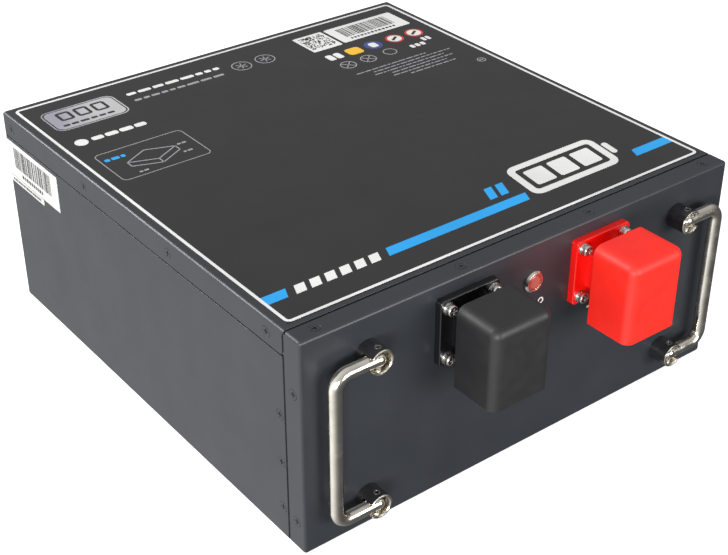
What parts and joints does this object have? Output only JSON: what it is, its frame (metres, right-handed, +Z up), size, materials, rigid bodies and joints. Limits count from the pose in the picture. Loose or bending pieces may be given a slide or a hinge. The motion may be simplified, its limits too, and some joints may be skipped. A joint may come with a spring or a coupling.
{
  "type": "deep cycle battery",
  "caption": "Low rectangular sheet-metal battery case with fold-out bow handles, hooded stud terminals and a push button on its front panel.",
  "frame": {"origin": "centre of the case footprint, on the face that the case stands on", "axes": "+X to the right along the front panel, +Y from the front panel to the back, +Z up"},
  "size_m": [0.3302, 0.3942, 0.1453],
  "materials": {
    "powder_coat": "satin powder coat",
    "galvanised_steel": "satin",
    "black_screws": "satin",
    "label_print": "satin film",
    "sticker": "satin",
    "post_black": "satin",
    "nickel_bar": "polished nickel",
    "pin_steel": "satin",
    "zinc_hardware": "bright zinc",
    "base_black": "glossy",
    "base_red": "glossy",
    "plated_brass": "satin",
    "hood_black": "satin",
    "hood_red": "satin",
    "seal_rubber": "matte",
    "bezel_nickel": "polished",
    "button_lens": "glossy",
    "spring_steel": "bright",
    "cell_can": "satin film",
    "spacer_board": "matte",
    "bus_copper": "satin",
    "insulation": "matte",
    "circuit_board": "glossy",
    "heatsink": "satin",
    "harness_film": "matte",
    "foam": "matte"
  },
  "bodies": {
    "case": {"base_flat_washers": "zinc_hardware", "base_screws": "zinc_hardware", "base_spring_washers": "zinc_hardware", "bms_board": "circuit_board", "bms_heatsink": "heatsink", "button_body": "bezel_nickel", "button_nut": "bezel_nickel", "button_spring": "spring_steel", "case_tub": "powder_coat", "cell_01": "cell_can", "cell_02": "cell_can", "cell_03": "cell_can", "cell_04": "cell_can", "cell_05": "cell_can", "cell_06": "cell_can", "cell_07": "cell_can", "cell_08": "cell_can", "cell_09": "cell_can", "cell_10": "cell_can", "cell_11": "cell_can", "cell_12": "cell_can", "cell_spacers": "spacer_board", "clinch_nuts": "zinc_hardware", "cover_screws": "black_screws", "foam_pads": "foam", "front_frame": "galvanised_steel", "front_panel": "powder_coat", "handle_pins": "pin_steel", "insulating_sheet": "insulation", "left_lower_post": "post_black", "left_upper_post": "post_black", "lid": "powder_coat", "lid_rail": "galvanised_steel", "negative_base": "base_black", "negative_busbar": "bus_copper", "negative_lead": "bus_copper", "negative_stud": "plated_brass", "positive_base": "base_red", "positive_busbar": "bus_copper", "positive_lead": "bus_copper", "positive_stud": "plated_brass", "post_nuts": "zinc_hardware", "post_washers": "zinc_hardware", "right_lower_post": "post_black", "right_upper_post": "post_black", "sense_harness": "harness_film", "series_links": "bus_copper", "side_labels": "sticker", "stud_nuts": "zinc_hardware", "terminal_bolts": "zinc_hardware", "terminal_seals": "seal_rubber", "terminal_spring_washers": "zinc_hardware", "terminal_washers": "zinc_hardware", "top_label": "label_print"},
    "left_handle": {"left_handle": "nickel_bar"},
    "right_handle": {"right_handle": "nickel_bar"},
    "negative_hood": {"negative_hood": "hood_black"},
    "positive_hood": {"positive_hood": "hood_red"},
    "button": {"button_cap": "button_lens"}
  },
  "joints": [
    {"name": "left_handle_hinge", "type": "hinge", "parent": "case", "child": "left_handle", "pos_m": [-0.121, -0.1815, 0.0715], "axis": [0, 0, 1], "range_deg": [0, 90]},
    {"name": "right_handle_hinge", "type": "hinge", "parent": "case", "child": "right_handle", "pos_m": [0.121, -0.1815, 0.0715], "axis": [0, 0, -1], "range_deg": [0, 90]},
    {"name": "negative_hood_slide", "type": "slide", "parent": "case", "child": "negative_hood", "axis": [0, -1, 0], "range_m": [0, 0.045]},
    {"name": "positive_hood_slide", "type": "slide", "parent": "case", "child": "positive_hood", "axis": [0, -1, 0], "range_m": [0, 0.045]},
    {"name": "button_press", "type": "slide", "parent": "case", "child": "button", "axis": [0, 1, 0], "range_m": [0, 0.0015], "stiffness_N_per_m": 800, "springref_m": -0.0005}
  ]
}
